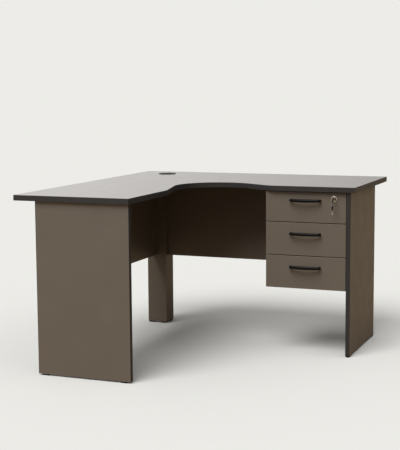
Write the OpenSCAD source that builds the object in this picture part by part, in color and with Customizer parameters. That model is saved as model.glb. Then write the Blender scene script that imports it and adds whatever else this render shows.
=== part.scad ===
// Curved L-shaped office desk with a hung three-drawer pedestal.
// Millimetres, +Z up, origin on the floor at the middle of the desk's footprint.
// The desk's back is at +Y, and the return wing runs towards -Y on the left.

/* [Worktop] */
// Overall width, along the back
desk_w = 1200; // [1150:10:1500]
// Overall length of the return side, from the back to its free end
desk_d = 1300; // [1200:10:1600]
// Height of the worktop's surface above the floor
desk_h = 720; // [700:5:780]
// Depth of the main wing
main_depth = 600; // [540:5:700]
// Width of the return wing
return_w = 500; // [460:10:560]
// Thickness of the worktop board
top_t = 22; // [16:1:28]
// Thickness of the edging on the worktop and the end panels
edging_t = 2; // [1:0.5:3]

/* [Inner curve] */
// From the inner corner to where the curve leaves each straight edge
curve_span = 328; // [320:2:344]
// How far the curve cuts in behind the return wing's inner edge
return_cut = 56; // [50:2:64]
// How far the curve cuts in behind the main wing's front edge
main_cut = 91; // [75:2:95]
// Radius of the hollow part of the curve
curve_r = 180; // [170:2:190]
// Radius of the rounding where the curve leaves each straight edge
curve_blend = 75; // [50:5:100]

/* [Grommet] */
// Centre of the cable grommet, from the desk's left side
grommet_x = 159; // [130:1:200]
// From the leg's back edge forward to the grommet's centre
grommet_in = 15; // [8:1:24]
// Diameter of the bore in the worktop
grommet_bore_d = 72; // [60:1:80]
// Width of the liner's flange beyond the bore
grommet_flange = 5; // [3:0.5:10]
// Thickness of the flange
grommet_flange_t = 2; // [1:0.5:4]
// Wall of the liner's sleeve
grommet_wall = 2.5; // [2:0.25:4]
// Width of the ledge that the cap rests on
grommet_ledge = 2; // [1:0.5:4]
// Thickness of the cap
cap_t = 5; // [4:0.5:6]
// Width of the cable slot in the cap
cap_slot_w = 22; // [14:1:30]
// Depth of the cable slot from the cap's rim
cap_slot_d = 20; // [14:1:26]

/* [Panels] */
// Thickness of the end panels, the leg's boards and the modesty panels
board_t = 18; // [16:1:22]
// The worktop's overhang past the left end panel's outer face
left_end_overhang = 13; // [8:1:60]
// From the worktop's left side to the left end panel's edge
left_end_set = 89; // [40:1:120]
// From the return's right side to the left end panel's other edge
left_end_reveal = 5; // [3:1:30]
// The worktop's overhang past the right end panel's outer face
right_end_overhang = 21; // [8:1:40]
// From the worktop's front edge to the right end panel's front edge
right_end_set = 12; // [8:1:14]
// From the main modesty panel's back to the right end panel's back edge
right_end_past = 25; // [10:1:60]
// Height of the modesty panels
modesty_h = 366; // [300:5:400]
// From the leg's left face to the return modesty panel
return_modesty_set = 27; // [10:1:50]
// From the leg's front face to the main modesty panel
main_modesty_set = 22; // [10:1:40]

/* [Corner leg] */
// From the desk's left side to the leg
leg_x = 82; // [60:1:100]
// Width of the leg
leg_w = 96; // [90:1:120]
// Depth of the leg
leg_d = 85; // [80:1:110]

/* [Glides] */
// Height of a glide's pad
glide_h = 6; // [4:1:10]
// Length of a glide's pad
glide_l = 30; // [22:1:34]
// Width of a glide's pad
glide_w = 16; // [12:1:16]
// Diameter of the spigot that a glide is pushed in by
glide_spigot_d = 8; // [6:1:10]
// Length of the spigot
glide_spigot_l = 14; // [10:1:25]
// From the left end panel's edges to its glides
glide_set_left = 17; // [4:1:60]
// From the right end panel's edges to its glides
glide_set_right = 2; // [1:1:60]
// From the leg's edges to its glides
glide_set_leg = 2; // [1:1:8]

/* [Drawer fronts] */
// Width of the drawer fronts
front_w = 350; // [330:1:400]
// Thickness of the drawer fronts
front_t = 18; // [16:1:22]
// From the worktop's front edge to the face of the drawer fronts
front_set = 15; // [13:1:25]
// Height of the top drawer front
front_1_h = 128; // [120:1:150]
// Height of the middle drawer front
front_2_h = 139.5; // [130:0.5:150]
// Height of the bottom drawer front
front_3_h = 139.5; // [130:0.5:150]
// Gap between drawer fronts, and under the worktop
front_gap = 3; // [2:0.5:5]
// Gap between the drawer fronts and the right end panel
front_side_gap = 2; // [1.5:0.5:4]

/* [Pedestal] */
// Thickness of the pedestal's boards
pedestal_t = 16; // [15:1:17]
// Gap between the pedestal and the main modesty panel
pedestal_back_gap = 4; // [1:0.5:20]
// Reveal of the pedestal side beside the drawer fronts
pedestal_reveal = 1; // [0.5:0.5:3]
// Gap between the closed drawer fronts and the pedestal
front_rest_gap = 2; // [1:0.5:4]
// Depth of the rail above the top drawer
rail_d = 80; // [60:5:120]

/* [Drawer boxes] */
// Thickness of the drawer sides and backs
box_t = 12; // [11:1:13]
// Height of the drawer sides
box_h = 85; // [70:1:88]
// Length of the drawer sides
box_l = 350; // [300:10:400]
// Gap between a drawer box and the pedestal's back
box_back_gap = 11; // [5:1:30]
// From a front's lower edge up to its drawer side
box_rise = 22; // [22:1:26]
// Thickness of the drawer bottoms
bottom_t = 3; // [3:0.5:5]
// From a side's lower edge up to the bottom's groove
bottom_rise = 8; // [6:0.5:12]
// Depth of the groove that holds the bottom
groove_d = 4; // [3:0.5:6]
// Gap for a runner between the pedestal and a drawer side
runner_gap = 12.5; // [12.5:0.1:13.5]

/* [Roller runners] */
// Thickness of the runners' sheet steel
runner_t = 1.2; // [1:0.1:1.4]
// Diameter of a runner's roller
roller_d = 16; // [14:0.5:16]
// Width of a roller
roller_w = 7; // [6:0.1:7.2]
// Diameter of a roller's pin
roller_pin_d = 4; // [3:0.5:5]
// From a runner's end to its roller
roller_set = 10; // [9:1:15]

/* [Handles] */
// Distance between a handle's two screws
handle_pitch = 128; // [96:1:160]
// How far the middle of a handle stands out
handle_out = 30; // [26:1:36]
// How much farther the middle of a handle stands out than its ends
handle_arch = 8; // [4:1:12]
// Depth of the handle's bar
handle_bar_d = 9; // [8:0.5:10]
// Height of the handle's bar
handle_bar_h = 14; // [10:0.5:15]
// Height of a handle above its front's lower edge
handle_rise = 93; // [40:1:100]

/* [Lock and keys] */
// From the top front's right edge to the lock
lock_set = 51; // [42:1:70]
// From the top front's upper edge to the lock
lock_drop = 26; // [26:1:28]
// Diameter of the lock's rosette
rosette_d = 26; // [20:0.5:28]
// How far the rosette stands out
rosette_t = 3; // [2:0.5:5]
// Diameter of the lock's barrel
barrel_d = 18; // [16:0.5:19]
// Diameter of the plug that the key turns
plug_d = 12; // [10:0.5:13]
// Width of the lock's case
case_w = 36; // [30:1:40]
// Height of the lock's case below its top
case_h = 36; // [32:1:40]
// Depth of the lock's case
case_d = 16; // [15:1:18]
// Wall of the lock's case
case_wall = 1.5; // [1:0.25:2]
// Travel of the bolt
bolt_travel = 9; // [8:0.5:10]
// Width of the bolt's tongue
bolt_w = 16; // [12:1:18]
// Thickness of the bolt
bolt_t = 4; // [3:0.5:5]
// Width of a key's bow
bow_w = 18; // [16:1:24]
// Length of a key's bow
bow_l = 22; // [20:1:28]
// Thickness of a key's bow
bow_t = 4; // [3:0.5:6]
// Diameter of the hole in a key's bow
bow_hole_d = 5; // [4.5:0.5:6]
// Length of a key's blade
blade_l = 20; // [18:1:26]
// Width of a key's blade
blade_w = 7; // [6:0.5:8]
// Thickness of a key's blade
blade_t = 2; // [1.5:0.25:2.5]
// Outer diameter of the key ring
key_ring_d = 24; // [20:1:30]
// Thickness of the key ring's wire
key_ring_wire = 1.6; // [1:0.1:1.8]

/* [Fittings] */
// Length of an angle bracket's arms
bracket_l = 30; // [26:1:50]
// Width of an angle bracket
bracket_w = 20; // [15:1:25]
// Thickness of an angle bracket
bracket_t = 2; // [1.5:0.5:3]
// Diameter of a cam disc
cam_d = 15; // [12:1:16]
// Depth of a cam disc
cam_depth = 12.5; // [11:0.5:13]
// From a board's end to its cam discs
cam_set = 34; // [24:1:40]

/* [Hidden] */
$fn = 48;

// Colours
taupe = [0.40, 0.36, 0.32];
pale_top = [0.66, 0.64, 0.61];
charcoal = [0.16, 0.16, 0.16];
black = [0.06, 0.06, 0.06];
steel = [0.70, 0.70, 0.72];
board_white = [0.80, 0.77, 0.72];
nylon = [0.90, 0.90, 0.88];

// Small clearances
slip = 0.1;       // hole over its screw or spigot, groove over its panel
run_fit = 0.05;   // radial clearance of a turning pin or plug
apart = 0.3;      // between pieces that move past each other
past = 1;         // how far a cut runs past a surface
joined = 0.1;     // how far two forms of one piece run into each other

// Heights
under_top = desk_h - top_t;
modesty_z = under_top - modesty_h;
front_h = [front_1_h, front_2_h, front_3_h];
front_z = [for (i = [0:2])
    under_top - front_gap * (i + 1) - front_1_h - (i > 0 ? front_2_h : 0) - (i > 1 ? front_3_h : 0)];
box_z = [for (z = front_z) z + box_rise];
pedestal_z = front_z[2];

// Places in plan, measured from the back left corner of the worktop
left_end_y = -desk_d + left_end_overhang;
left_end_in_y = left_end_y + board_t;
left_end_x1 = return_w - left_end_reveal;
right_end_x1 = desk_w - right_end_overhang;
right_end_x0 = right_end_x1 - board_t;
front_x1 = right_end_x0 - front_side_gap;
front_x0 = front_x1 - front_w;
front_x = (front_x0 + front_x1) / 2;
front_y = -main_depth + front_set;
front_back_y = front_y + front_t;
box_y1 = front_back_y + box_l;
pedestal_y0 = front_back_y + front_rest_gap;
pedestal_y1 = box_y1 + box_back_gap + pedestal_t;
main_modesty_y0 = pedestal_y1 + pedestal_back_gap;
main_modesty_y1 = main_modesty_y0 + board_t;
right_end_y0 = -main_depth + right_end_set;
right_end_y1 = main_modesty_y1 + right_end_past;
leg_x1 = leg_x + leg_w;
leg_y0 = main_modesty_y0 - main_modesty_set;
leg_y1 = leg_y0 + leg_d;
return_modesty_x0 = leg_x + return_modesty_set;
return_modesty_x1 = return_modesty_x0 + board_t;
pedestal_x0 = front_x0 + pedestal_reveal;
bay_x0 = pedestal_x0 + pedestal_t;
bay_w = right_end_x0 - bay_x0;
bay_x = (bay_x0 + right_end_x0) / 2;

// Drawer box, about the middle of the bay
box_half = bay_w / 2 - runner_gap;
box_in = box_half - box_t;

// Inner curve: a hollow arc runs out at each end into a straight slant, and a rounding turns the
// slant into the straight edge, first on the return wing and then on the main wing
curve_in = [curve_r - return_cut, curve_r - main_cut];
slant_run = [curve_span - curve_in[1], curve_span - curve_in[0]];
slant = [for (i = [0, 1]) asin(curve_r / norm([curve_in[i], slant_run[i]]))
    - atan(curve_in[i] / slant_run[i])];
blend_from = [for (angle = slant) curve_span + curve_blend * tan(angle / 2)];

// Runner, across the bay: heights above the cabinet runner's lower face
runner_drop = 4;                                    // below the drawer side
track_z = runner_t + apart + roller_d + apart;      // underside of the drawer runner's track
lip_gap = 0.8;                                      // between the track and the lip over it
lip_z = track_z + runner_t + lip_gap;               // underside of the cabinet runner's lip
roller_z = runner_t + apart + roller_d / 2;
runner_side_gap = 0.5;                              // between a roller and the sheet beside it
pin_head_t = 1;
pin_head_rim = 1.5;
pin_head_d = roller_pin_d + 2 * pin_head_rim;
cab_roller_x = bay_w / 2 - runner_t - runner_side_gap - roller_w;
box_roller_x = box_half + runner_t + runner_side_gap;
box_pin_x = box_roller_x + roller_w + apart;
cab_roller_y = pedestal_y0 + roller_set;
box_roller_y = box_y1 - roller_set;

// Wood screw, for the runners and the brackets
screw_head_d = 7;
screw_head_t = 1;
screw_d = 3.5;
screw_l = 11;
handle_screw_d = 4;
handle_screw_head_d = 8;
handle_screw_head_t = 2.5;
handle_screw_bite = 8;
runner_screw_at = [0.15, 0.8];                      // along a runner, as shares of its length

// Lock
lock_x = front_x1 - lock_set;
lock_z = front_z[0] + front_1_h - lock_drop;
case_top = 12;                                      // above the lock's axis
driver_t = 1.5;                                     // disc on the plug's end that carries the peg
driver_rim = 2;
driver_d = plug_d + 2 * driver_rim;
peg_r = bolt_travel / 2 / sin(45);
peg_d = 3;
peg_play = 0.5;
bolt_play = 0.5;                                    // between the bolt and the case behind it
bolt_side = 4;                                      // of the bolt's plate beside its tongue
bolt_below = 8;                                     // of the plate below the peg
bolt_above = 5;                                     // of the plate above the peg
plug_proud = 0.5;                                   // of the rosette's face
key_out = 8;                                        // bare blade between the plug and the bow
ring_r = (key_ring_d - key_ring_wire) / 2;
ring_rise = ring_r - sqrt(ring_r ^ 2 - (bow_t / 2) ^ 2);
ring_drop = bow_hole_d / 2 - key_ring_wire / 2 - apart - ring_rise;

// Angle brackets under the worktop: places of the corners, and the sides they open to
bracket_near = 80;                                  // from a panel's corner to a bracket near it
bracket_far = 250;                                  // along a modesty panel, past its fittings
bracket_mid = 170;                                  // along the main modesty panel
bracket_at = [
    [return_modesty_x1 + bracket_near, left_end_in_y],
    [left_end_x1 - bracket_near, left_end_in_y],
    [return_modesty_x1, left_end_in_y + bracket_far],
    [return_modesty_x1, leg_y0 - bracket_far],
    [leg_x1 + bracket_mid, main_modesty_y0],
    [pedestal_x0 - bracket_mid, main_modesty_y0],
    [pedestal_x0, pedestal_y0 + bracket_near],
    [pedestal_x0, pedestal_y1 - bracket_near],
    [right_end_x0, pedestal_y1 - pedestal_t - bracket_near],
    [(return_modesty_x1 + leg_x1) / 2, leg_y0],
];
bracket_turn = [90, 90, 0, 0, -90, -90, 180, 180, 180, -90];
bracket_hole = 0.7 * bracket_l;                     // from a bracket's corner to its holes

// Cam fittings in the ends of the modesty panels: where each bolt leaves the board that it
// stands in, which way it points, and on which side of that line the disc is let in
cam_end_set = 60;                                   // from a modesty panel's edge to its bolts
cam_z = [modesty_z + cam_end_set, under_top - cam_end_set];
cams = [for (z = cam_z) each [
    [[return_modesty_x0 + board_t / 2, left_end_in_y, z], 90, 1],
    [[return_modesty_x0 + board_t / 2, leg_y0, z], -90, -1],
    [[leg_x1, main_modesty_y0 + board_t / 2, z], 0, 1],
    [[right_end_x0, main_modesty_y0 + board_t / 2, z], 180, -1],
]];
cam_bolt_bite = 11;
cam_bolt_d = 5;
cam_shank_d = 6;
cam_head_d = 7;
cam_head_l = 5;

// Glides, pushed into the lower edges of the panels and of the leg: where each stands, and how it
// is turned to lie along its board
glide_edge = 1.5;                                   // bevel along a pad's foot
glides_at = [
    [left_end_set + glide_set_left + glide_l / 2, left_end_y + board_t / 2, 0],
    [left_end_x1 - glide_set_left - glide_l / 2, left_end_y + board_t / 2, 0],
    [right_end_x0 + board_t / 2, right_end_y0 + glide_set_right + glide_l / 2, 90],
    [right_end_x0 + board_t / 2, right_end_y1 - glide_set_right - glide_l / 2, 90],
    [leg_x + glide_set_leg + glide_l / 2, leg_y0 + board_t / 2, 0],
    [leg_x1 - glide_set_leg - glide_l / 2, leg_y0 + board_t / 2, 0],
    [leg_x + board_t / 2, leg_y1 - glide_set_leg - glide_l / 2, 90],
    [leg_x1 - board_t / 2, leg_y1 - glide_set_leg - glide_l / 2, 90],
];

// Puts what is measured from the worktop's back left corner into the desk's own frame
module place() translate([-desk_w / 2, desk_d / 2, 0]) children();

module block(x0, x1, y0, y1, z0, z1)
    translate([x0, y0, z0]) cube([x1 - x0, y1 - y0, z1 - z0]);
module along_x(x0, x1, d) translate([x0, 0, 0]) rotate([0, 90, 0]) cylinder(d = d, h = x1 - x0);
module along_y(y0, y1, d) translate([0, y0, 0]) rotate([-90, 0, 0]) cylinder(d = d, h = y1 - y0);
module along_z(z0, z1, d) translate([0, 0, z0]) cylinder(d = d, h = z1 - z0);

// Outline of the worktop, drawn in all round by the given amount
module plan(inset = 0) {
    hollow = [return_w + curve_in[0], -main_depth - curve_in[1]];
    hollow_r = curve_r + inset;
    blends = [
        [return_w - curve_blend, -main_depth - blend_from[0]],
        [return_w + blend_from[1], -main_depth + curve_blend],
    ];
    blend_r = curve_blend - inset;
    away = [[1, 0], [0, -1]];                       // square to the straight edges
    slanting = [[cos(slant[0]), sin(slant[0])], [-sin(slant[1]), -cos(slant[1])]];
    ends = [for (i = [0, 1]) blends[i] + blend_r * away[i]];
    let_in = 0.01;                                  // so that a line crosses the round it runs into
    leaves = [for (i = [0, 1]) blends[i] + (blend_r - let_in) * slanting[i]];
    meets = [for (i = [0, 1]) hollow - (hollow_r - let_in) * slanting[i]];
    difference() {
        union() {
            translate([inset, -main_depth + inset])
                square([desk_w - 2 * inset, main_depth - 2 * inset]);
            translate([inset, -desk_d + inset])
                square([return_w - 2 * inset, desk_d - 2 * inset]);
        }
        difference() {
            union() {
                translate(hollow) circle(r = hollow_r, $fn = 96);
                polygon([
                    ends[0], leaves[0], meets[0], hollow, meets[1], leaves[1], ends[1],
                    [ends[1][0], ends[0][1]],
                ]);
            }
            for (b = blends) translate(b) circle(r = blend_r, $fn = 96);
        }
    }
}

// Wood screw driven along +X, with its head's face on the plane x = 0, and its hole
module wood_screw() {
    along_x(-screw_head_t, 0, screw_head_d);
    along_x(-screw_head_t / 2, screw_l, screw_d);
}
module wood_hole() along_x(-past, screw_l + slip, screw_d + 2 * slip);

// Angle brackets and the two screws of each
module at_brackets() place() for (i = [0:len(bracket_at) - 1])
    translate([bracket_at[i][0], bracket_at[i][1], under_top])
        rotate([0, 0, bracket_turn[i]]) children();
module to_panel() translate([bracket_t, 0, -bracket_hole]) rotate([0, 0, 180]) children();
module to_top() translate([bracket_hole, 0, -bracket_t]) rotate([0, -90, 0]) children();
module bracket_holes() at_brackets() {
    to_panel() wood_hole();
    to_top() wood_hole();
}

// The drawers' gear comes in mirrored pairs about the middle of the bay
module both_sides() place() translate([bay_x, 0, 0]) {
    children();
    mirror([1, 0, 0]) children();
}
module at_cabinet_screws() for (z = box_z, s = runner_screw_at) both_sides()
    translate([bay_w / 2 - runner_t, pedestal_y0 + s * box_l, z - runner_drop + roller_z])
        children();
module at_drawer_screws(i) for (s = runner_screw_at) both_sides()
    translate([box_half + runner_t, front_back_y + s * box_l, box_z[i] - runner_drop + roller_z])
        rotate([0, 0, 180]) children();
module cabinet_screw_holes() at_cabinet_screws() wood_hole();
module drawer_screw_holes(i) at_drawer_screws(i) wood_hole();

module at_handle_screws(i) place() for (side = [-1, 1])
    translate([front_x + side * handle_pitch / 2, front_y, front_z[i] + handle_rise]) children();
module handle_screw_holes(i) at_handle_screws(i)
    along_y(-handle_screw_bite - slip, front_t + past, handle_screw_d + 2 * slip);

module at_cams() place() for (c = cams)
    translate(c[0]) rotate([0, 0, c[1]]) mirror([0, c[2] < 0 ? 1 : 0, 0]) children();
module cam_bolt_holes() at_cams()
    along_x(-cam_bolt_bite - slip, past, cam_bolt_d + 2 * slip);
module cam_pockets() at_cams() {
    along_x(-past, cam_set, cam_head_d + 2 * slip);
    translate([cam_set, 0, 0])
        along_y(board_t / 2 - cam_depth - slip, board_t / 2 + past, cam_d + 2 * slip);
}

module at_glides() place() for (g = glides_at)
    translate([g[0], g[1], 0]) rotate([0, 0, g[2]]) children();
module glide_holes() at_glides()
    along_z(glide_h - past, glide_h + glide_spigot_l + slip, glide_spigot_d + 2 * slip);

module at_lock() place() translate([lock_x, front_y, lock_z]) children();

module worktop() color(pale_top) difference() {
    place() translate([0, 0, under_top]) linear_extrude(top_t) plan(edging_t);
    at_grommet() along_z(under_top - past, desk_h + past, grommet_bore_d);
    bracket_holes();
}

module worktop_edging() color(charcoal) place()
    translate([0, 0, under_top]) linear_extrude(top_t) difference() {
        plan();
        plan(edging_t);
    }

// Grommet: a flanged liner, and a cap that lies on the liner's ledge
cap_z = desk_h + grommet_flange_t - cap_t;
liner_in_d = grommet_bore_d - 2 * grommet_wall;
cap_d = liner_in_d - 2 * apart;
module at_grommet() place() translate([grommet_x, leg_y1 - grommet_in, 0]) children();
module grommet_liner() color(black) at_grommet() difference() {
    union() {
        along_z(under_top, desk_h + joined, grommet_bore_d - 2 * slip);
        along_z(desk_h, desk_h + grommet_flange_t, grommet_bore_d + 2 * grommet_flange);
    }
    along_z(cap_z - apart, desk_h + grommet_flange_t + past, liner_in_d);
    along_z(under_top - past, desk_h, liner_in_d - 2 * grommet_ledge);
}
module grommet_cap() color(black) at_grommet() difference() {
    along_z(cap_z, cap_z + cap_t, cap_d);
    block(-cap_slot_w / 2, cap_slot_w / 2, cap_d / 2 - cap_slot_d, cap_d,
        cap_z - past, cap_z + cap_t + past);
}

module left_end_panel() color(taupe) difference() {
    place() block(left_end_set + edging_t, left_end_x1 - edging_t, left_end_y, left_end_in_y,
        glide_h, under_top);
    bracket_holes();
    cam_bolt_holes();
    glide_holes();
}
module left_end_edging() color(charcoal) place() for (x = [left_end_set, left_end_x1 - edging_t])
    block(x, x + edging_t, left_end_y, left_end_in_y, glide_h, under_top);

module right_end_panel() color(taupe) difference() {
    place() block(right_end_x0, right_end_x1, right_end_y0 + edging_t, right_end_y1 - edging_t,
        glide_h, under_top);
    bracket_holes();
    cam_bolt_holes();
    glide_holes();
    cabinet_screw_holes();
}
module right_end_edging() color(charcoal) place() for (y = [right_end_y0, right_end_y1 - edging_t])
    block(right_end_x0, right_end_x1, y, y + edging_t, glide_h, under_top);

// Corner leg: three boards round a cable channel that is open at the back
module leg_front_board() color(taupe) difference() {
    place() block(leg_x, leg_x1, leg_y0, leg_y0 + board_t, glide_h, under_top);
    bracket_holes();
    cam_bolt_holes();
    glide_holes();
}
module leg_left_board() color(taupe) difference() {
    place() block(leg_x, leg_x + board_t, leg_y0 + board_t, leg_y1, glide_h, under_top);
    glide_holes();
}
module leg_right_board() color(taupe) difference() {
    place() block(leg_x1 - board_t, leg_x1, leg_y0 + board_t, leg_y1, glide_h, under_top);
    cam_bolt_holes();
    glide_holes();
}

module return_modesty_panel() color(taupe) difference() {
    place() block(return_modesty_x0, return_modesty_x1, left_end_in_y, leg_y0, modesty_z, under_top);
    bracket_holes();
    cam_pockets();
}
module main_modesty_panel() color(taupe) difference() {
    place() block(leg_x1, right_end_x0, main_modesty_y0, main_modesty_y1, modesty_z, under_top);
    bracket_holes();
    cam_pockets();
}

module glides() color(black) at_glides() {
    foot = glide_w / 2 - glide_edge;
    rotate([90, 0, 90]) linear_extrude(glide_l, center = true) polygon([
        [-foot, 0], [foot, 0], [glide_w / 2, glide_edge],
        [glide_w / 2, glide_h], [-glide_w / 2, glide_h], [-glide_w / 2, glide_edge],
    ]);
    along_z(glide_h - past, glide_h + glide_spigot_l, glide_spigot_d);
}

module corner_brackets() color(steel) difference() {
    at_brackets() {
        block(0, bracket_t, -bracket_w / 2, bracket_w / 2, -bracket_l, 0);
        block(0, bracket_l, -bracket_w / 2, bracket_w / 2, -bracket_t, 0);
    }
    bracket_holes();
}
module panel_screws() color(steel) {
    at_brackets() to_panel() wood_screw();
    at_brackets() to_top() wood_screw();
    at_cabinet_screws() wood_screw();
}

// Cam fittings: the bolt's head lies in a slot in the disc
module cam_discs() color(steel) at_cams() difference() {
    translate([cam_set, 0, 0]) along_y(board_t / 2 - cam_depth, board_t / 2, cam_d);
    block(0, cam_set + slip, -board_t, cam_head_d / 2 + slip,
        -cam_head_d / 2 - slip, cam_head_d / 2 + slip);
}
module cam_bolts() color(steel) at_cams() {
    along_x(-cam_bolt_bite, joined, cam_bolt_d);
    along_x(0, cam_set - slip, cam_shank_d);
    along_x(cam_set - cam_head_l, cam_set - slip, cam_head_d);
}

// Pedestal: a side, a back, a bottom and a rail, closed at the right by the end panel
module pedestal_side() color(taupe) difference() {
    place() block(pedestal_x0, bay_x0, pedestal_y0, pedestal_y1, pedestal_z, under_top);
    bracket_holes();
    cabinet_screw_holes();
}
module pedestal_back() color(taupe) place()
    block(bay_x0, right_end_x0, pedestal_y1 - pedestal_t, pedestal_y1, pedestal_z, under_top);
module pedestal_bottom() color(taupe) place()
    block(bay_x0, right_end_x0, pedestal_y0, pedestal_y1 - pedestal_t,
        pedestal_z, pedestal_z + pedestal_t);
module pedestal_rail() color(taupe) difference() {
    place() block(bay_x0, right_end_x0, pedestal_y0, pedestal_y0 + rail_d,
        under_top - pedestal_t, under_top);
    at_lock() block(-bolt_w / 2 - past, bolt_w / 2 + past, bolt_y - past, bolt_y + bolt_t + past,
        0, case_top + bolt_travel + past);
}

// Roller runners, in section across the bay, with the drawer runner hooked over the rollers
cabinet_flange_x = box_half + runner_t + runner_side_gap;
lip_w = 6;
tray_w = 14;
module cabinet_section() {
    translate([bay_w / 2 - runner_t, 0]) square([runner_t, lip_z + runner_t]);
    translate([cabinet_flange_x, 0]) square([bay_w / 2 - cabinet_flange_x, runner_t]);
    translate([bay_w / 2 - lip_w, lip_z]) square([lip_w, runner_t]);
}
module drawer_section() {
    translate([box_half, runner_drop - runner_t])
        square([runner_t, track_z - runner_drop + 2 * runner_t]);
    translate([box_half - tray_w, runner_drop - runner_t]) square([tray_w + runner_t, runner_t]);
    translate([box_half, track_z]) square([bay_w / 2 - 2 * runner_t - apart - box_half, runner_t]);
}
module extrude_y(y0, y1) translate([0, y1, 0]) rotate([90, 0, 0]) linear_extrude(y1 - y0) children();

module cabinet_runners() color(steel) difference() {
    for (z = box_z) both_sides() translate([0, 0, z - runner_drop]) {
        extrude_y(pedestal_y0, pedestal_y0 + box_l) cabinet_section();
        translate([0, cab_roller_y, roller_z]) {
            along_x(cab_roller_x - apart, bay_w / 2 - runner_t / 2, roller_pin_d);
            along_x(cab_roller_x - apart - pin_head_t, cab_roller_x - apart, pin_head_d);
        }
    }
    cabinet_screw_holes();
}
module cabinet_rollers(i) color(nylon) both_sides()
    translate([0, cab_roller_y, box_z[i] - runner_drop + roller_z]) roller(cab_roller_x);
module roller(x0) difference() {
    along_x(x0, x0 + roller_w, roller_d);
    along_x(x0 - past, x0 + roller_w + past, roller_pin_d + 2 * run_fit);
}

module drawer_runners(i) color(steel) difference() {
    both_sides() translate([0, 0, box_z[i] - runner_drop]) {
        extrude_y(front_back_y, box_y1) drawer_section();
        translate([0, box_roller_y, roller_z]) {
            along_x(box_half + runner_t / 2, box_pin_x, roller_pin_d);
            along_x(box_pin_x, box_pin_x + pin_head_t, pin_head_d);
        }
    }
    drawer_screw_holes(i);
}
module drawer_rollers(i) color(nylon) both_sides()
    translate([0, box_roller_y, box_z[i] - runner_drop + roller_z]) roller(box_roller_x);

// Drawer: a front that carries the handle, and a grooved box behind it
module drawer_front(i) color(taupe) difference() {
    place() block(front_x0, front_x1, front_y, front_back_y, front_z[i], front_z[i] + front_h[i]);
    handle_screw_holes(i);
    if (i == 0) at_lock() along_y(-past, front_t + past, barrel_d + 2 * slip);
}
module drawer_side(i) difference() {
    block(box_in, box_half, front_back_y, box_y1, box_z[i], box_z[i] + box_h);
    block(0, box_in + groove_d, front_back_y - past, box_y1 + past,
        box_z[i] + bottom_rise, box_z[i] + bottom_rise + bottom_t);
}
module drawer_left_side(i) color(board_white) difference() {
    place() translate([bay_x, 0, 0]) mirror([1, 0, 0]) drawer_side(i);
    drawer_screw_holes(i);
}
module drawer_right_side(i) color(board_white) difference() {
    place() translate([bay_x, 0, 0]) drawer_side(i);
    drawer_screw_holes(i);
}
module drawer_back(i) color(board_white) place()
    block(bay_x - box_in, bay_x + box_in, box_y1 - box_t, box_y1,
        box_z[i] + bottom_rise + bottom_t, box_z[i] + box_h);
module drawer_bottom(i) color(board_white) place()
    block(bay_x - box_in - groove_d, bay_x + box_in + groove_d, front_back_y, box_y1,
        box_z[i] + bottom_rise, box_z[i] + bottom_rise + bottom_t);
module drawer_screws(i) color(steel) {
    at_drawer_screws(i) wood_screw();
    at_handle_screws(i) {
        along_y(-handle_screw_bite, front_t, handle_screw_d);
        along_y(front_t, front_t + handle_screw_head_t, handle_screw_head_d);
    }
}

// Handle: a bar bent to a flat arch, on two feet of nearly its own section with domed ends
arch_r = ((handle_pitch / 2) ^ 2 + handle_arch ^ 2) / (2 * handle_arch);
arch_angle = asin(handle_pitch / 2 / arch_r);
bar_out = handle_out - handle_bar_d / 2;
foot_rim = 0.3;                                     // by which a foot is larger than the bar
foot_w = handle_bar_d + 2 * foot_rim;
foot_h = handle_bar_h + 2 * foot_rim;
foot_out = bar_out - handle_arch + foot_w / 2;
dome_r = 0.62 * foot_w;
module stadium(w, h) {
    square([w, h - w], center = true);
    for (side = [-1, 1]) translate([0, side * (h - w) / 2]) circle(d = w);
}
module handle_foot() intersection() {
    rotate([90, 0, 0]) translate([0, 0, -past]) linear_extrude(foot_out + 2 * past)
        stadium(foot_w, foot_h);
    translate([0, 0, -foot_h]) linear_extrude(2 * foot_h) {
        translate([-dome_r, dome_r - foot_out]) square([2 * dome_r, foot_out - dome_r]);
        translate([0, dome_r - foot_out]) circle(r = dome_r, $fn = 96);
    }
}
module drawer_handle(i) color(black) difference() {
    union() {
        place() translate([front_x, front_y - bar_out + arch_r, front_z[i] + handle_rise])
            rotate([0, 0, -90 - arch_angle]) rotate_extrude(angle = 2 * arch_angle, $fn = 96)
                translate([arch_r, 0]) stadium(handle_bar_d, handle_bar_h);
        at_handle_screws(i) handle_foot();
    }
    handle_screw_holes(i);
}

// Lock: the plug's peg lifts the bolt into the rail as the key turns a quarter turn
bolt_y = front_t + case_d - case_wall - bolt_t - bolt_play;
driver_y = bolt_y - apart - driver_t;
bolt_z = -bolt_travel / 2;
module lock_body() color(steel) at_lock() difference() {
    union() {
        along_y(-rosette_t, 0, rosette_d);
        along_y(-past, front_t + past, barrel_d);
        block(-case_w / 2, case_w / 2, front_t, front_t + case_d, case_top - case_h, case_top);
    }
    along_y(-rosette_t - past, front_t + case_wall + past, plug_d + 2 * run_fit);
    block(-case_w / 2 + case_wall, case_w / 2 - case_wall,
        front_t + case_wall, front_t + case_d - case_wall,
        case_top - case_h + case_wall, case_top - case_wall);
    block(-bolt_w / 2 - apart, bolt_w / 2 + apart, bolt_y - apart, bolt_y + bolt_t + apart,
        0, case_top + past);
}
module lock_plug() color(steel) at_lock() difference() {
    union() {
        along_y(-rosette_t - plug_proud, driver_y + joined, plug_d);
        along_y(driver_y, driver_y + driver_t, driver_d);
        translate([-peg_r * cos(45), 0, -peg_r * sin(45)])
            along_y(driver_y, bolt_y + bolt_t, peg_d);
    }
    block(-blade_t / 2 - slip, blade_t / 2 + slip, -rosette_t - past, blade_y1 + slip,
        -blade_w / 2 - slip, blade_w / 2 + slip);
}
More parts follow.
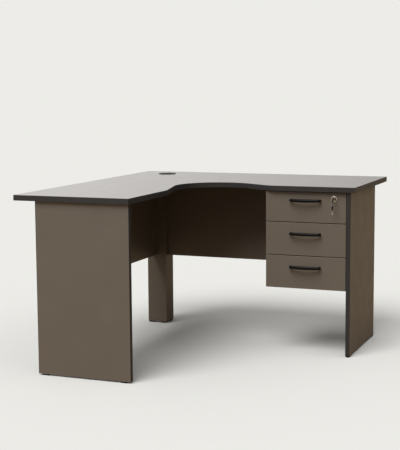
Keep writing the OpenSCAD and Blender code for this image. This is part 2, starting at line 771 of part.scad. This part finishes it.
module lock_bolt() color(steel) at_lock() difference() {
    union() {
        block(-bolt_w / 2 - bolt_side, bolt_w / 2 + bolt_side, bolt_y, bolt_y + bolt_t,
            bolt_z - bolt_below, bolt_z + bolt_above);
        block(-bolt_w / 2, bolt_w / 2, bolt_y, bolt_y + bolt_t, bolt_z, case_top);
    }
    block(-peg_r - peg_d / 2 - peg_play, -peg_r * cos(45) + peg_d / 2 + peg_play,
        bolt_y - past, bolt_y + bolt_t + past,
        bolt_z - peg_d / 2 - peg_play, bolt_z + peg_d / 2 + peg_play);
}

// A key lies in the YZ plane with its blade along +Y and its ring hole at the origin
bow_margin = 2.5;
notch_first = 0.35;                                 // along the blade, as shares of its length
notch_step = 0.17;
notch_size = 1.5;
notch_more = 0.4;                                   // by which every second notch is larger
bow_y0 = -bow_hole_d / 2 - bow_margin;
bow_y1 = bow_y0 + bow_l;
key_y = -rosette_t - key_out - bow_y1;
blade_y1 = key_y + bow_y1 + blade_l;
module key_form() difference() {
    union() {
        extrude_x(bow_t) {
            translate([bow_y0 + bow_w / 2, 0]) circle(d = bow_w);
            translate([bow_y0 + bow_w / 2, -bow_w / 2]) square([bow_l - bow_w / 2, bow_w]);
        }
        extrude_x(blade_t) difference() {
            translate([bow_y1 - past, -blade_w / 2]) square([blade_l + past, blade_w]);
            for (n = [0:3]) translate([bow_y1 + blade_l * (notch_first + notch_step * n), -blade_w / 2])
                rotate(45) square(notch_size + notch_more * (n % 2), center = true);
        }
    }
    along_x(-bow_t, bow_t, bow_hole_d);
}
module extrude_x(t) translate([-t / 2, 0, 0]) rotate([90, 0, 90]) linear_extrude(t) children();

module key() color(black) at_lock() translate([0, key_y, 0]) key_form();
module key_ring() color(steel) at_lock() translate([0, key_y, -ring_drop - ring_r])
    rotate([90, 0, 0]) rotate_extrude() translate([ring_r, 0]) circle(d = key_ring_wire);
module spare_key() color(black) at_lock() translate([0, key_y, -2 * ring_drop - 2 * ring_r])
    rotate([-90, 0, 0]) key_form();

worktop();
worktop_edging();
grommet_liner();
grommet_cap();
left_end_panel();
left_end_edging();
right_end_panel();
right_end_edging();
leg_front_board();
leg_left_board();
leg_right_board();
return_modesty_panel();
main_modesty_panel();
glides();
corner_brackets();
panel_screws();
cam_discs();
cam_bolts();
pedestal_side();
pedestal_back();
pedestal_bottom();
pedestal_rail();
cabinet_runners();
cabinet_rollers(0);  // cabinet_rollers_1
cabinet_rollers(1);  // cabinet_rollers_2
cabinet_rollers(2);  // cabinet_rollers_3
drawer_front(0);  // drawer_1_front
drawer_left_side(0);  // drawer_1_left_side
drawer_right_side(0);  // drawer_1_right_side
drawer_back(0);  // drawer_1_back
drawer_bottom(0);  // drawer_1_bottom
drawer_handle(0);  // drawer_1_handle
drawer_runners(0);  // drawer_1_runners
drawer_rollers(0);  // drawer_1_rollers
drawer_screws(0);  // drawer_1_screws
drawer_front(1);  // drawer_2_front
drawer_left_side(1);  // drawer_2_left_side
drawer_right_side(1);  // drawer_2_right_side
drawer_back(1);  // drawer_2_back
drawer_bottom(1);  // drawer_2_bottom
drawer_handle(1);  // drawer_2_handle
drawer_runners(1);  // drawer_2_runners
drawer_rollers(1);  // drawer_2_rollers
drawer_screws(1);  // drawer_2_screws
drawer_front(2);  // drawer_3_front
drawer_left_side(2);  // drawer_3_left_side
drawer_right_side(2);  // drawer_3_right_side
drawer_back(2);  // drawer_3_back
drawer_bottom(2);  // drawer_3_bottom
drawer_handle(2);  // drawer_3_handle
drawer_runners(2);  // drawer_3_runners
drawer_rollers(2);  // drawer_3_rollers
drawer_screws(2);  // drawer_3_screws
lock_body();
lock_plug();
lock_bolt();
key();
key_ring();
spare_key();
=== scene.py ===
from math import asin, cos, pi, radians, sin

import bmesh
import bpy
from mathutils import Matrix, Vector


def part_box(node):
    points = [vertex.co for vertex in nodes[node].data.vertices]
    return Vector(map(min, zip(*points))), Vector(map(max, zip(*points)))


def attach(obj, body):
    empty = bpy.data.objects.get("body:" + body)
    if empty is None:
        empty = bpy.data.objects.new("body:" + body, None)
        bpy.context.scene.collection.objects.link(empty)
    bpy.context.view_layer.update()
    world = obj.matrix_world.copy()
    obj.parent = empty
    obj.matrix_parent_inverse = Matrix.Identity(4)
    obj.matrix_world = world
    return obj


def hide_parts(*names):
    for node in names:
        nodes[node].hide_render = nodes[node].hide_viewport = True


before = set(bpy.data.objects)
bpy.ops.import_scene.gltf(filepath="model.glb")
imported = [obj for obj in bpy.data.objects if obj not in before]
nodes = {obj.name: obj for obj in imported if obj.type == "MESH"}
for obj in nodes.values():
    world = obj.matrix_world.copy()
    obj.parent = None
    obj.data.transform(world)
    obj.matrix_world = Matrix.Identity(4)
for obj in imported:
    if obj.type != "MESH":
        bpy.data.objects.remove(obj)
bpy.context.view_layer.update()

# Worktop
# One L-shaped sheet of 22 mm chipboard faced with satin taupe melamine, sawn to the hollow
# curve and bored for the grommet. Seen at a low angle its satin face mirrors the pale surround.
taupe = (0.134, 0.110, 0.086)
cloud_scale = 6
gloss_scale = 15
relief_to_fleck = 1.6
relief_strength = 0.3
noise_floor, noise_ceiling = 0.3, 0.7


def noise(tree, scale, detail, low, high):
    """Noise over an object's own coordinates, spread between two values."""
    place = tree.nodes.new("ShaderNodeTexCoord")
    made = tree.nodes.new("ShaderNodeTexNoise")
    made.inputs["Scale"].default_value = scale
    made.inputs["Detail"].default_value = detail
    tree.links.new(place.outputs["Object"], made.inputs["Vector"])
    spread = tree.nodes.new("ShaderNodeMapRange")
    spread.inputs["From Min"].default_value = noise_floor
    spread.inputs["From Max"].default_value = noise_ceiling
    spread.inputs["To Min"].default_value = low
    spread.inputs["To Max"].default_value = high
    tree.links.new(made.outputs["Fac"], spread.inputs["Value"])
    return spread.outputs["Result"]


def finish(
    name, colour, rough, grain, depth, fleck=0.07, cloud=0.03, uneven=0.05, metal=0, shine=0.5,
):
    """A colour with a fine fleck and a faint cloud, uneven gloss and a grain in relief.

    Grain is the scale of the fleck. The relief is a little finer, and depth is its metres.
    """
    material = bpy.data.materials.new(name)
    material.use_nodes = True
    tree = material.node_tree
    shader = tree.nodes["Principled BSDF"]
    shader.inputs["Metallic"].default_value = metal
    shader.inputs["Specular IOR Level"].default_value = shine
    shade = tree.nodes.new("ShaderNodeMath")
    shade.operation = "MULTIPLY"
    flecks = noise(tree, grain, detail=2, low=1 - fleck, high=1 + fleck)
    clouds = noise(tree, cloud_scale, detail=3, low=1 - cloud, high=1 + cloud)
    tree.links.new(flecks, shade.inputs[0])
    tree.links.new(clouds, shade.inputs[1])
    tint = tree.nodes.new("ShaderNodeVectorMath")
    tint.operation = "SCALE"
    tint.inputs[0].default_value = colour
    tree.links.new(shade.outputs["Value"], tint.inputs["Scale"])
    tree.links.new(tint.outputs["Vector"], shader.inputs["Base Color"])
    gloss = noise(tree, gloss_scale, detail=4, low=rough - uneven, high=rough + uneven)
    tree.links.new(gloss, shader.inputs["Roughness"])
    bump = tree.nodes.new("ShaderNodeBump")
    bump.inputs["Strength"].default_value = relief_strength
    bump.inputs["Distance"].default_value = depth
    relief = noise(tree, relief_to_fleck * grain, detail=2, low=0, high=1)
    tree.links.new(relief, bump.inputs["Height"])
    tree.links.new(bump.outputs["Normal"], shader.inputs["Normal"])
    return material


def dress(node, material):
    """A node that keeps its own shape takes a finish."""
    nodes[node].material_slots[0].material = material


dress("worktop", finish(
    "worktop_melamine", taupe, 0.20, grain=900, depth=0.00002, cloud=0.02, uneven=0.008,
))

# Edging of the worktop and of the end panels
# A 2 mm strip of charcoal ABS, glued round the boards, with its outer corners trimmed to a
# small round that catches the light as a thin line.
charcoal = finish("charcoal_abs", (0.022, 0.021, 0.020), 0.42, grain=1200, depth=0.00004)
edging_round = 0.0010
weld = 1e-6
flat_angle = radians(0.5)
corner_angle = radians(60)
shaded_sharp = radians(40)


def merged(node):
    """A node's mesh as one welded shape with its flat faces whole."""
    shape = bmesh.new()
    shape.from_mesh(nodes[node].data)
    bmesh.ops.remove_doubles(shape, verts=shape.verts, dist=weld)
    bmesh.ops.dissolve_limit(
        shape, angle_limit=flat_angle, verts=shape.verts, edges=shape.edges
    )
    return shape


def corners(shape):
    """The edges at which two faces meet at a marked angle."""
    return [
        e for e in shape.edges
        if len(e.link_faces) == 2 and e.calc_face_angle(0) > corner_angle
    ]


def rounded(shape, edges, radius, segments=3):
    """Bevels the edges given into a round of a few segments."""
    bmesh.ops.bevel(
        shape, geom=edges, offset=radius, offset_type="OFFSET", segments=segments,
        profile=0.5, affect="EDGES", material=-1, clamp_overlap=True,
    )


def piece_of(shape, name, material, body, slot, *stands_for):
    """Makes a shape a piece that rides on a body and stands for nodes."""
    mesh = bpy.data.meshes.new(name)
    shape.to_mesh(mesh)
    shape.free()
    mesh.polygons.foreach_set("use_smooth", [True] * len(mesh.polygons))
    mesh.set_sharp_from_angle(angle=shaded_sharp)
    mesh.materials.append(material)
    piece = bpy.data.objects.new(name, mesh)
    bpy.context.scene.collection.objects.link(piece)
    even = piece.modifiers.new("even_shading", "WEIGHTED_NORMAL")
    even.keep_sharp = True
    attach(piece, body)
    if stands_for:
        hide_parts(*stands_for)
    return piece


def edge_band(node, board):
    """The strip's outer corners are rounded, those against its board stay sharp."""
    off_board = 0.001
    shape = merged(node)

    def is_outer(edge):
        return all(
            (nodes[board].closest_point_on_mesh(v.co)[1] - v.co).length > off_board
            for v in edge.verts
        )

    rounded(shape, [e for e in corners(shape) if is_outer(e)], edging_round)
    piece_of(shape, node + "_band", charcoal, "desk", "charcoal_edging", node)


edge_band("worktop_edging", "worktop")
edge_band("left_end_edging", "left_end_panel")
edge_band("right_end_edging", "right_end_panel")

# Cable grommet
# A black moulded liner pressed into the worktop's bore, and a loose cap with a cable slot that
# lies on the liner's ledge. Both leave the mould with rounded upper corners.
black = (0.014, 0.014, 0.014)
black_abs = finish("black_moulding", black, 0.55, grain=1800, depth=0.00006, shine=0.1)
lip_depth = 0.0021
liner_round = 0.0006
cap_round = 0.0007
for node, body, radius in (
    ("grommet_liner", "desk", liner_round), ("grommet_cap", "grommet_cap", cap_round),
):
    shape = merged(node)
    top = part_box(node)[1].z
    lip = [e for e in corners(shape) if all(v.co.z > top - lip_depth for v in e.verts)]
    rounded(shape, lip, radius)
    piece_of(shape, node + "_moulding", black_abs, body, "black_plastic", node)

# End panels, corner leg, modesty panels and pedestal
# Boards of the same taupe melamine with sawn edges just eased. The end panels and the leg carry
# the worktop, the modesty panels brace it, and the pedestal hangs under it.
taupe_board = finish("taupe_melamine", taupe, 0.42, grain=900, depth=0.00006)
board_ease = 0.0004
near = 1e-5


def eased_board(node, body="desk", ease=board_ease, material=taupe_board, slot="taupe_board"):
    """The twelve outer edges of a board are eased, its bores and grooves stay sharp."""
    shape = merged(node)
    low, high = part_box(node)

    def on_outline(vert):
        return sum(
            min(abs(vert.co[i] - low[i]), abs(vert.co[i] - high[i])) < near for i in range(3)
        ) >= 2

    outline = [e for e in corners(shape) if all(on_outline(v) for v in e.verts)]
    rounded(shape, outline, ease, segments=2)
    piece_of(shape, node + "_board", material, body, slot, node)


for node in (
    "left_end_panel", "right_end_panel", "leg_front_board", "leg_left_board", "leg_right_board",
    "return_modesty_panel", "main_modesty_panel", "pedestal_side", "pedestal_back",
    "pedestal_bottom", "pedestal_rail",
):
    eased_board(node)

# Glides
# Black moulded pads, each pushed into the lower edge of a panel or of the leg by its spigot, with
# rounded corners and a bevelled foot.
pad_corner = 0.004
pad_h = 0.006
least_rise = 0.0001


def rises_in_pad(edge):
    """Whether an edge climbs and lies in a pad, not in its spigot."""
    ends = [v.co.z for v in edge.verts]
    return max(ends) < pad_h + near and max(ends) - min(ends) > least_rise


shape = merged("glides")
rounded(shape, [e for e in corners(shape) if rises_in_pad(e)], pad_corner)
piece_of(shape, "glide_pads", black_abs, "desk", "black_plastic", "glides")

# Angle brackets
# Pressed from zinc-plated steel strip, so that every edge is slightly rolled over. They are
# screwed to the panels and, from below, to the worktop.
zinc = finish(
    "zinc_plate", (0.60, 0.60, 0.58), 0.36, grain=400, depth=0.00002, fleck=0.12, uneven=0.1,
    metal=1,
)
strip_round = 0.0003
shape = merged("corner_brackets")
rounded(shape, corners(shape), strip_round, segments=2)
piece_of(shape, "brackets_rolled", zinc, "desk", "zinc_steel", "corner_brackets")

# Screws
# Zinc-plated pan-head screws with a cross recess. They hold the brackets to the boards, the
# runners to the drawer sides and the handles to the fronts.
turn_steps = 24
fine_weld = 1e-7
point_r = 1e-6
point_taper = 2.5
rim_share = 0.9


def solids_of(node):
    """The points of each separate solid in a node."""
    shape = bmesh.new()
    shape.from_mesh(nodes[node].data)
    bmesh.ops.remove_doubles(shape, verts=shape.verts, dist=weld)
    left = set(shape.verts)
    for first in shape.verts:
        if first not in left:
            continue
        left.remove(first)
        grown = [first]
        solid = []
        while grown:
            vert = grown.pop()
            solid.append(vert.co.copy())
            for edge in vert.link_edges:
                other = edge.other_vert(vert)
                if other in left:
                    left.remove(other)
                    grown.append(other)
        yield solid
    shape.free()


def add_turned(shape, profile, cross, depth, place):
    """Turns a profile about Z, closes its top round a cross recess and sets it in place.

    The profile runs up to the ring round the recess, and cross is an arm's length and width.
    """
    arm, half = cross[0], cross[1] / 2
    before = set(shape.verts)
    line = [shape.verts.new((r, 0, z)) for r, z in profile]
    edges = [shape.edges.new(pair) for pair in zip(line, line[1:])]
    bmesh.ops.spin(
        shape, geom=line + edges, cent=(0, 0, 0), axis=(0, 0, 1), angle=2 * pi,
        steps=turn_steps, use_merge=True,
    )
    top = profile[-1][1]
    fresh = [v for v in shape.verts if v not in before]
    bmesh.ops.remove_doubles(shape, verts=fresh, dist=fine_weld)
    ring = [
        e for e in shape.edges
        if e.is_boundary and all(
            v not in before and abs(v.co.z - top) < fine_weld for v in e.verts
        )
    ]
    plan = [(arm, -half), (arm, half), (half, half)]
    loop = []
    for turn in range(4):
        spun = Matrix.Rotation(turn * pi / 2, 4, "Z")
        loop += [shape.verts.new(spun @ Vector((x, y, top))) for x, y in plan]
    sides = [shape.edges.new(pair) for pair in zip(loop, loop[1:] + loop[:1])]
    bmesh.ops.triangle_fill(shape, use_beauty=True, edges=ring + sides)
    floor_loop = [shape.verts.new(v.co - Vector((0, 0, depth))) for v in loop]
    for i in range(len(loop)):
        shape.faces.new((loop[i], loop[i - 1], floor_loop[i - 1], floor_loop[i]))
    shape.faces.new(floor_loop)
    turned = [f for f in shape.faces if f.verts[0] not in before]
    bmesh.ops.recalc_face_normals(shape, faces=turned)
    fresh = [v for v in shape.verts if v not in before]
    bmesh.ops.transform(shape, matrix=place, verts=fresh)


def measured(solid):
    """A screw's place with Z out of its head, head and shank radius, length and head height."""
    low = Vector([min(p[i] for p in solid) for i in range(3)])
    high = Vector([max(p[i] for p in solid) for i in range(3)])
    middle = (low + high) / 2
    spans = high - low

    def unlike_others(i):
        return sum(abs(spans[i] - other) for other in spans)

    along = max(range(3), key=unlike_others)

    def radius(point):
        flat = point - middle
        flat[along] = 0
        return flat.length

    def reach(end):
        return max(radius(p) for p in solid if abs(p[along] - end) < near)

    wide, narrow = sorted((low[along], high[along]), key=reach, reverse=True)
    start = middle.copy()
    start[along] = wide
    out = Vector((0, 0, 0))
    out[along] = 1 if wide > narrow else -1
    place = Matrix.Translation(start) @ out.to_track_quat("Z", "Y").to_matrix().to_4x4()
    rim = [p[along] for p in solid if radius(p) > rim_share * reach(wide)]
    return place, reach(wide), reach(narrow), abs(wide - narrow), max(rim) - min(rim)


def screws(node, body):
    """Each screw gets a point, a shank and a domed head, by ratios of the head's own size."""
    shape = bmesh.new()
    for solid in solids_of(node):
        place, head_r, shank_r, length, head_t = measured(solid)
        profile = [
            (point_r, -length), (shank_r, point_taper * shank_r - length), (shank_r, -head_t),
            (head_r, -head_t), (head_r, -0.6 * head_t), (0.92 * head_r, -0.25 * head_t),
            (0.78 * head_r, -0.06 * head_t), (0.6 * head_r, 0),
        ]
        cross = (0.45 * head_r, 0.24 * head_r)
        add_turned(shape, profile, cross, depth=0.3 * head_r, place=place)
    piece_of(shape, node + "_driven", zinc, body, "zinc_steel", node)


screws("panel_screws", "desk")

# Cam fittings
# Die-cast discs let into the modesty panels, turned with a cross driver, pull on the heads of
# bolts that stand in the leg and in the end panels.
cast = finish("die_cast", (0.42, 0.42, 0.41), 0.5, grain=700, depth=0.00005, fleck=0.1, metal=1)
dress("cam_discs", cast)
dress("cam_bolts", zinc)

# Roller runners
# Folded from sheet steel with a white baked coat. Each pair rolls on white nylon wheels on
# riveted pins, two at the cabinet's front and two at the drawer's back.
baked_white = finish("baked_white", (0.70, 0.69, 0.67), 0.35, grain=500, depth=0.00003, fleck=0.02)
nylon = finish("white_nylon", (0.68, 0.68, 0.65), 0.45, grain=1500, depth=0.00002, fleck=0.03)
roller_round = 0.0006
dress("cabinet_runners", baked_white)
for i in (1, 2, 3):
    dress(f"drawer_{i}_runners", baked_white)
    for node in (f"cabinet_rollers_{i}", f"drawer_{i}_rollers"):
        shape = merged(node)
        rounded(shape, corners(shape), roller_round)
        piece_of(shape, node + "_moulded", nylon, node, "nylon", node)

# Drawers
# Fronts of taupe board with a rounded edging, and boxes of pale faced board behind them: two
# sides and a back round a grooved-in bottom.
front_round = 0.0010
pale_board = finish("pale_board", (0.50, 0.47, 0.42), 0.45, grain=700, depth=0.00005, fleck=0.04)
for i in (1, 2, 3):
    body = f"drawer_{i}"
    eased_board(f"{body}_front", body, front_round)
    for part in ("left_side", "right_side", "back"):
        eased_board(f"{body}_{part}", body, board_ease, pale_board, "drawer_board")
    eased_board(f"{body}_bottom", body, board_ease / 2, pale_board, "drawer_bottom")
    screws(f"{body}_screws", body)

# Handles
# Cast bow handles with a satin black coat. An oval bar, fullest at its middle, runs in a flat
# arch and bends back at both ends into the feet that the screws draw against the front.
black_coat = finish(
    "satin_black", (0.005, 0.0045, 0.004), 0.42, grain=700, depth=0.00002, shine=0.12,
)
bar_d = 0.011
foot_taper = 0.2
bow_r = 0.26
bend_r = 0.009
oval_points = 20
bend_steps = 8
bow_steps = 24


def only(kind, geometry):
    """The points or the edges of a list of mixed geometry."""
    return [part for part in geometry if isinstance(part, kind)]


for i in (1, 2, 3):
    low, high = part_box(f"drawer_{i}_handle")
    foot_x = (high.x - low.x - bar_d) / 2
    middle = Vector(((low.x + high.x) / 2, low.y + bar_d / 2, (low.z + high.z) / 2))
    sweep = asin((foot_x - bend_r) / (bow_r - bend_r))
    leg_end = middle.y + bow_r - (bow_r - bend_r) * cos(sweep)
    leg = Vector((0, high.y - leg_end, 0))
    start = Matrix.Translation((middle.x - foot_x, high.y, middle.z))
    oval = Matrix.Diagonal((bar_d / 2, (high.z - low.z) / 2, 1, 1))
    shape = bmesh.new()
    bmesh.ops.create_circle(
        shape, segments=oval_points, radius=1,
        matrix=start @ Matrix.Rotation(pi / 2, 4, "X") @ oval,
    )
    made = bmesh.ops.extrude_edge_only(shape, edges=shape.edges[:])
    points = only(bmesh.types.BMVert, made["geom"])
    bmesh.ops.translate(shape, vec=-leg, verts=points)
    last = points + only(bmesh.types.BMEdge, made["geom"])
    for centre, angle, steps in (
        ((middle.x - foot_x + bend_r, leg_end, 0), pi / 2 - sweep, bend_steps),
        ((middle.x, middle.y + bow_r, 0), 2 * sweep, bow_steps),
        ((middle.x + foot_x - bend_r, leg_end, 0), pi / 2 - sweep, bend_steps),
    ):
        last = bmesh.ops.spin(
            shape, geom=last, cent=centre, axis=(0, 0, 1), angle=angle, steps=steps
        )["geom_last"]
    made = bmesh.ops.extrude_edge_only(shape, edges=only(bmesh.types.BMEdge, last))
    bmesh.ops.translate(shape, vec=leg, verts=only(bmesh.types.BMVert, made["geom"]))
    bmesh.ops.holes_fill(shape, edges=[e for e in shape.edges if e.is_boundary])
    for vert in shape.verts:
        off = min(1, abs(vert.co.x - middle.x) / foot_x)
        vert.co.z = middle.z + (vert.co.z - middle.z) * (1 - foot_taper * off * off)
    bmesh.ops.recalc_face_normals(shape, faces=shape.faces)
    piece_of(
        shape, f"drawer_{i}_bow", black_coat, f"drawer_{i}", "black_handle", f"drawer_{i}_handle"
    )

# Lock
# Nickel-plated and let into the top drawer's front: a case with a rounded rim, the plug that
# takes the key, and behind them a zinc-plated bolt that the plug lifts into the rail.
nickel = finish(
    "bright_nickel", (0.80, 0.78, 0.74), 0.16, grain=600, depth=0.00001, fleck=0.03, metal=1,
)
rim_round = 0.0012
plug_round = 0.0004
for node, body, radius in (
    ("lock_body", "drawer_1", rim_round), ("lock_plug", "lock_plug", plug_round),
):
    shape = merged(node)
    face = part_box(node)[0].y
    rim = [e for e in corners(shape) if all(abs(v.co.y - face) < near for v in e.verts)]
    rounded(shape, rim, radius)
    piece_of(shape, node + "_plated", nickel, body, "chrome_lock", node)
dress("lock_bolt", zinc)

# Keys and ring
# Each key has a black moulded bow with rounded edges on a flat nickel blade. The spare hangs
# from the other by a split ring, two turns of wire side by side.
bow_black = finish("bow_moulding", black, 0.36, grain=1500, depth=0.00003)
dull_nickel = finish(
    "dull_nickel", (0.50, 0.47, 0.42), 0.42, grain=600, depth=0.00002, fleck=0.05, metal=1,
)
bow_l = 0.022
bow_round = 0.0009
for node, body, back, along in (
    ("key", "lock_plug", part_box("key")[0], Vector((0, 1, 0))),
    ("spare_key", "spare_key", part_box("spare_key")[1], Vector((0, 0, -1))),
):
    for part, material in (("bow", bow_black), ("blade", dull_nickel)):
        shape = merged(node)
        bmesh.ops.bisect_plane(
            shape, geom=shape.verts[:] + shape.edges[:] + shape.faces[:], dist=weld,
            plane_co=back + bow_l * along, plane_no=along,
            clear_outer=part == "bow", clear_inner=part == "blade",
        )
        bmesh.ops.holes_fill(shape, edges=[e for e in shape.edges if e.is_boundary])
        if part == "bow":
            rounded(shape, corners(shape), bow_round)
        piece_of(shape, f"{node}_{part}", material, body, "key_black", node)

wire_r = 0.0004
wire_points = 10
ring_steps = 64
low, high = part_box("key_ring")
middle = (low + high) / 2
coil_r = (high.x - low.x) / 2 - 2 * wire_r
shape = bmesh.new()
for side in (-wire_r, wire_r):
    start = Matrix.Translation(middle + Vector((coil_r, side, 0)))
    made = bmesh.ops.create_circle(shape, segments=wire_points, radius=wire_r, matrix=start)
    wire = made["verts"] + [e for e in shape.edges if e.is_wire]
    bmesh.ops.spin(
        shape, geom=wire, cent=middle, axis=(0, 1, 0), angle=2 * pi, steps=ring_steps,
        use_merge=True,
    )
bmesh.ops.remove_doubles(shape, verts=shape.verts, dist=fine_weld)
bmesh.ops.recalc_face_normals(shape, faces=shape.faces)
piece_of(shape, "key_ring_coils", dull_nickel, "key_ring", "ring_steel", "key_ring")

# Floor
# A plain pale floor that runs out to the pale surround. It gives back a warm, weaker light than
# it shows, so that the desk is hardly lit from below.
floor_size = 300
shape = bmesh.new()
bmesh.ops.create_grid(shape, x_segments=1, y_segments=1, size=floor_size / 2)
mesh = bpy.data.meshes.new("floor")
shape.to_mesh(mesh)
shape.free()
floor = bpy.data.objects.new("floor", mesh)
bpy.context.scene.collection.objects.link(floor)


def any_of(tree, *rays):
    """One where a ray is of any of the kinds named."""
    seen = tree.nodes.new("ShaderNodeLightPath")
    last = seen.outputs[rays[0]]
    for ray in rays[1:]:
        either = tree.nodes.new("ShaderNodeMath")
        either.operation = "MAXIMUM"
        tree.links.new(last, either.inputs[0])
        tree.links.new(seen.outputs[ray], either.inputs[1])
        last = either.outputs["Value"]
    return last


def by_ray(tree, usual, shown, *rays):
    """One colour for most light, and another for rays of the kinds named."""
    level = tree.nodes.new("ShaderNodeMix")
    level.data_type = "RGBA"
    for socket, colour in (("A", usual), ("B", shown)):
        if isinstance(colour, tuple):
            level.inputs[socket].default_value = colour
        else:
            tree.links.new(colour, level.inputs[socket])
    tree.links.new(any_of(tree, *rays), level.inputs["Factor"])
    return level.outputs["Result"]


material = bpy.data.materials.new("pale_floor")
material.use_nodes = True
tree = material.node_tree
shader = tree.nodes["Principled BSDF"]
shader.inputs["Roughness"].default_value = 0.8
shader.inputs["Specular IOR Level"].default_value = 0
warm, pale = (0.26, 0.19, 0.12, 1), (0.63, 0.625, 0.60, 1)
tree.links.new(
    by_ray(tree, warm, pale, "Is Camera Ray", "Is Transmission Ray"), shader.inputs["Base Color"]
)
mesh.materials.append(material)

# Soft studio light
# A broad sun from high at the front left, a weaker one from high at the right, and a pale
# surround that lights the desk mostly from above.
sun_away = 4


def broad_sun(name, toward, strength, spread):
    """A sun that shines from a direction, its light spread over some degrees."""
    lamp = bpy.data.lights.new(name, "SUN")
    lamp.energy = strength
    lamp.angle = radians(spread)
    holder = bpy.data.objects.new(name, lamp)
    holder.location = sun_away * Vector(toward)
    holder.rotation_euler = (-Vector(toward)).to_track_quat("-Z", "Y").to_euler()
    bpy.context.scene.collection.objects.link(holder)


broad_sun("key_light", toward=(-0.15, -0.70, 0.98), strength=2.85, spread=40)
broad_sun("side_light", toward=(0.7, -0.1, 0.9), strength=0.45, spread=50)
world = bpy.data.worlds.new("pale_surround")
bpy.context.scene.world = world
world.use_nodes = True
tree = world.node_tree
way = tree.nodes.new("ShaderNodeTexCoord")
split = tree.nodes.new("ShaderNodeSeparateXYZ")
tree.links.new(way.outputs["Generated"], split.inputs["Vector"])


def ramp(axis, start, end, low, high):
    """A level along one axis of the surround, low where it starts and high where it ends."""
    spread = tree.nodes.new("ShaderNodeMapRange")
    for name, value in (
        ("From Min", start), ("From Max", end), ("To Min", low), ("To Max", high),
    ):
        spread.inputs[name].default_value = value
    tree.links.new(split.outputs[axis], spread.inputs["Value"])
    return spread.outputs["Result"]


backdrop = (0.847, 0.839, 0.810, 1)
from_above = ramp("Z", start=0, end=1, low=0.06, high=0.80)
from_left = tree.nodes.new("ShaderNodeMath")
from_left.operation = "MULTIPLY"
tree.links.new(from_above, from_left.inputs[0])
tree.links.new(ramp("X", start=-1, end=1, low=1.3, high=0.5), from_left.inputs[1])
mirrored = tree.nodes.new("ShaderNodeMath")
mirrored.operation = "MAXIMUM"
tree.links.new(ramp("X", start=-0.5, end=0.12, low=1.06, high=0.13), mirrored.inputs[0])
tree.links.new(ramp("Z", start=0.06, end=0.25, low=0.13, high=0.62), mirrored.inputs[1])
seen_in_gloss = by_ray(
    tree, from_left.outputs["Value"], mirrored.outputs["Value"], "Is Glossy Ray"
)
seen_at_all = by_ray(tree, seen_in_gloss, backdrop, "Is Camera Ray", "Is Transmission Ray")
tree.links.new(seen_at_all, tree.nodes["Background"].inputs["Color"])

# Camera
# Set where the picture's perspective puts it: in front of the desk and to the right, a little
# above the worktop.
camera_place = Vector((1.7184, -4.4769, 1.1435))
turn, dip, roll = radians(21.759), radians(7.074), radians(-0.381)
ahead = Vector((-sin(turn) * cos(dip), cos(turn) * cos(dip), -sin(dip)))
level_right = Vector((cos(turn), sin(turn), 0))
level_up = level_right.cross(ahead)
right = cos(roll) * level_right + sin(roll) * level_up
up = cos(roll) * level_up - sin(roll) * level_right
view = bpy.data.cameras.new("camera")
view.lens = 90.12
view.sensor_width = 36
camera = bpy.data.objects.new("camera", view)
turned = Matrix((right, up, -ahead)).transposed().to_4x4()
camera.matrix_world = Matrix.Translation(camera_place) @ turned
bpy.context.scene.collection.objects.link(camera)
bpy.context.scene.camera = camera
bpy.context.scene.view_settings.view_transform = "Standard"
